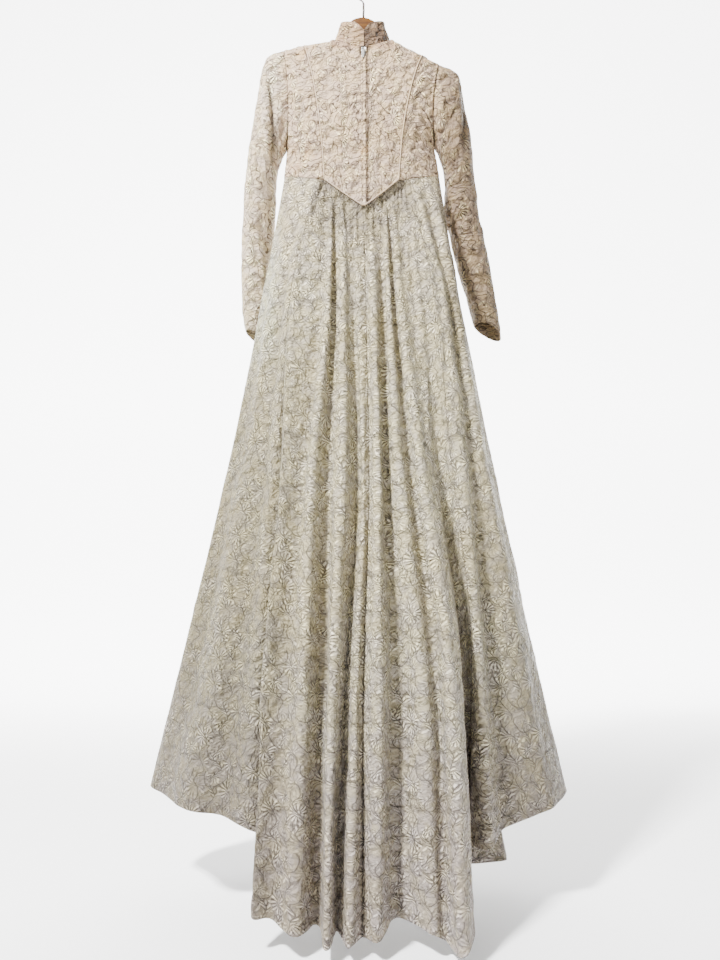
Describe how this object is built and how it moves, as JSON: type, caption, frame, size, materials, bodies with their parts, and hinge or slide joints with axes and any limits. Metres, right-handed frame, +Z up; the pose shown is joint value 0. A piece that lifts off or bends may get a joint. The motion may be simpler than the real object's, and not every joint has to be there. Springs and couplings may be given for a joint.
{
  "type": "wedding dress on a wooden hanger",
  "caption": "Long-sleeved high-necked wedding dress with an empire waist, a lapped zip, a pointed corded back waist and a gathered train, hanging on a wooden hanger with a wire hook",
  "frame": {"origin": "the inside top of the hanger's hook, where the rail bears", "axes": "+Z up, the dress faces -Y so that its zip and train are towards +Y, and the wearer's left is +X"},
  "size_m": [0.8456, 0.4836, 1.9092],
  "materials": {
    "cloth": "warm ivory cloth embroidered in satin thread",
    "skirt_cloth": "greyed ivory cloth embroidered in satin thread",
    "tape": "plain woven zip tape",
    "zip_metal": "white enamel",
    "wood": "varnished reddish brown wood",
    "wire": "dull darkened wire"
  },
  "bodies": {
    "dress": {"bodice_front": "cloth", "side_back_left": "cloth", "side_back_right": "cloth", "centre_back_left": "cloth", "centre_back_right": "cloth", "collar_band": "cloth", "sleeve_left": "cloth", "sleeve_right": "cloth", "zip_lap": "cloth", "zip_tape": "tape", "zip_slider": "zip_metal", "princess_cord_left": "cloth", "princess_cord_right": "cloth", "waist_cord": "cloth", "skirt_front": "skirt_cloth", "skirt_side_left": "skirt_cloth", "skirt_side_right": "skirt_cloth", "train_left": "skirt_cloth", "train_right": "skirt_cloth", "hanger_wood": "wood", "hanger_hook": "wire"},
    "pull_tab": {"zip_pull": "zip_metal"}
  },
  "joints": [
    {"name": "pull_tab_swing", "type": "hinge", "parent": "dress", "child": "pull_tab", "pos_m": [0.0017, 0.05369, -0.1848], "axis": [1, 0, 0], "range_deg": [0, 150]}
  ]
}
